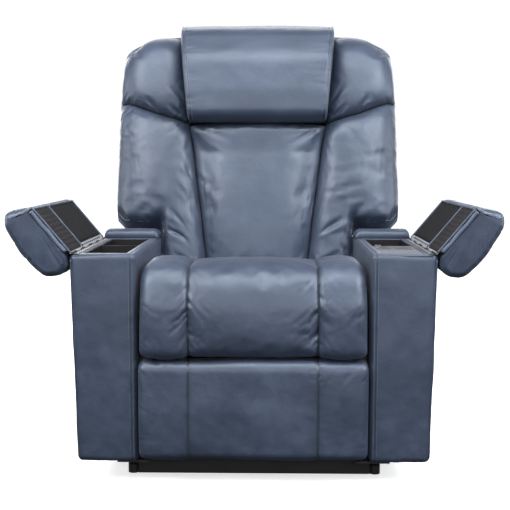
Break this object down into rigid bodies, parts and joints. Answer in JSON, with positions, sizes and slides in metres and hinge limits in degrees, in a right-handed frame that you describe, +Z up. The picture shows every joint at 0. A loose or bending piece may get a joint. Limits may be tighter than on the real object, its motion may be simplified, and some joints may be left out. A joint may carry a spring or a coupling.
{
  "type": "lift recliner chair",
  "caption": "Power lift recliner chair with a padded wing back, tilting headrest, swing-out legrest, and armrests with hinged lids over storage wells and a cup holder.",
  "frame": {"origin": "on the floor, under the middle of the chair's box at rest", "axes": "+Z up, +X to the right as one faces the chair's front from outside, -Y out of the chair's front, the way the sitter faces"},
  "size_m": [1.1888, 0.8832, 1.1781],
  "materials": {
    "leather": "soft slate-blue upholstery leather, satin, fine grain",
    "frame_steel": "black powder coat, low sheen",
    "zinc": "zinc-plated steel",
    "black_plastic": "black moulded plastic, fine texture",
    "grey_plastic": "light grey moulded plastic, satin",
    "plywood": "hardwood plywood, unfinished",
    "webbing": "woven elastic webbing",
    "lining": "black non-woven lining fabric"
  },
  "bodies": {
    "base": {"base_cross_bars": "frame_steel", "base_side_rails": "frame_steel", "base_feet": "black_plastic", "base_pivot_ears": "frame_steel", "base_motor_lug": "frame_steel", "lift_motor": "black_plastic"},
    "lift_links": {"lift_main_links": "frame_steel", "lift_torque_tube": "frame_steel"},
    "stay_links": {"lift_stay_links": "frame_steel"},
    "lift_rod": {"lift_rod": "zinc"},
    "chassis": {"chassis_plates": "frame_steel", "chassis_cross_tubes": "frame_steel", "arm_brackets": "frame_steel", "arm_bolts": "zinc", "control_box": "black_plastic", "power_inlet": "grey_plastic", "seat_box": "plywood", "seat_springs": "zinc", "seat_cushion": "leather", "rear_valance": "leather", "arm_left_frame": "plywood", "arm_left_cover": "leather", "arm_left_tray": "black_plastic", "arm_left_rear_pad": "leather", "arm_left_leaf": "zinc", "arm_right_frame": "plywood", "arm_right_cover": "leather", "arm_right_tray": "black_plastic", "arm_right_rear_pad": "leather", "arm_right_leaf": "zinc", "cup_holder": "grey_plastic", "cup_tabs": "grey_plastic", "legrest_motor": "black_plastic", "recline_motor": "black_plastic"},
    "lid_left": {"lid_left_board": "lining", "lid_left_pad": "leather", "lid_left_leaf": "zinc"},
    "lid_right": {"lid_right_board": "lining", "lid_right_pad": "leather", "lid_right_leaf": "zinc"},
    "legrest_rear_links": {"legrest_rear_links": "frame_steel"},
    "legrest_front_links": {"legrest_front_links": "frame_steel"},
    "legrest": {"legrest_brackets": "frame_steel", "legrest_board": "plywood", "legrest_pad": "leather"},
    "legrest_rod": {"legrest_rod": "zinc"},
    "back": {"back_frame": "plywood", "back_brackets": "frame_steel", "back_webbing": "webbing", "back_shell": "leather", "headrest_frame_leaf": "zinc", "back_centre_cushion": "leather", "back_wing_left": "leather", "back_wing_right": "leather", "back_shoulder_left": "leather", "back_shoulder_right": "leather"},
    "recline_rod": {"recline_rod": "zinc"},
    "headrest": {"headrest_leaf": "zinc", "headrest_bolster": "leather"}
  },
  "joints": [
    {"name": "lift", "type": "hinge", "parent": "base", "child": "lift_links", "pos_m": [0, -0.26961, 0.05], "axis": [1, 0, 0], "range_deg": [0, 40]},
    {"name": "chassis_tilt", "type": "hinge", "parent": "lift_links", "child": "chassis", "pos_m": [0, 0.14039, 0.15], "axis": [1, 0, 0], "range_deg": [-15, 0]},
    {"name": "stay_turn", "type": "hinge", "parent": "base", "child": "stay_links", "pos_m": [0, -0.32961, 0.068], "axis": [1, 0, 0], "range_deg": [0, 44.8]},
    {"name": "lift_rod_slide", "type": "slide", "parent": "base", "child": "lift_rod", "axis": [0, -1, 0], "range_m": [0, 0.072]},
    {"name": "legrest_swing", "type": "hinge", "parent": "chassis", "child": "legrest_rear_links", "pos_m": [0, -0.23461, 0.265], "axis": [-1, 0, 0], "range_deg": [0, 76.5]},
    {"name": "legrest_reach", "type": "hinge", "parent": "legrest_rear_links", "child": "legrest_front_links", "pos_m": [0, -0.28461, 0.085], "axis": [-1, 0, 0], "range_deg": [-121, 0]},
    {"name": "legrest_tilt", "type": "hinge", "parent": "legrest_front_links", "child": "legrest", "pos_m": [0, -0.34361, 0.285], "axis": [-1, 0, 0], "range_deg": [0, 133.6]},
    {"name": "legrest_rod_slide", "type": "slide", "parent": "chassis", "child": "legrest_rod", "axis": [0, -1, 0], "range_m": [0, 0.062]},
    {"name": "back_recline", "type": "hinge", "parent": "chassis", "child": "back", "pos_m": [0, 0.18039, 0.4], "axis": [1, 0, 0], "range_deg": [-48, 0]},
    {"name": "recline_rod_slide", "type": "slide", "parent": "chassis", "child": "recline_rod", "axis": [0, -1, 0], "range_m": [0, 0.0693]},
    {"name": "headrest_tilt", "type": "hinge", "parent": "back", "child": "headrest", "pos_m": [0, 0.2395, 0.89277], "axis": [1, 0, 0], "range_deg": [0, 18]},
    {"name": "lid_left_close", "type": "hinge", "parent": "chassis", "child": "lid_left", "pos_m": [-0.433, -0.19961, 0.566], "axis": [0, 1, 0], "range_deg": [0, 130]},
    {"name": "lid_right_close", "type": "hinge", "parent": "chassis", "child": "lid_right", "pos_m": [0.433, -0.19961, 0.566], "axis": [0, -1, 0], "range_deg": [0, 130]}
  ],
  "couplings": [
    {"joint": "chassis_tilt", "follows": "lift", "ratio": -0.375},
    {"joint": "stay_turn", "follows": "lift", "ratio": 1.1175},
    {"joint": "lift_rod_slide", "follows": "lift", "m_per_rad": 0.10286},
    {"joint": "legrest_reach", "follows": "legrest_swing", "ratio": -1.58},
    {"joint": "legrest_tilt", "follows": "legrest_swing", "ratio": 1.745},
    {"joint": "legrest_rod_slide", "follows": "legrest_swing", "m_per_rad": 0.04636},
    {"joint": "recline_rod_slide", "follows": "back_recline", "m_per_rad": -0.0825}
  ]
}
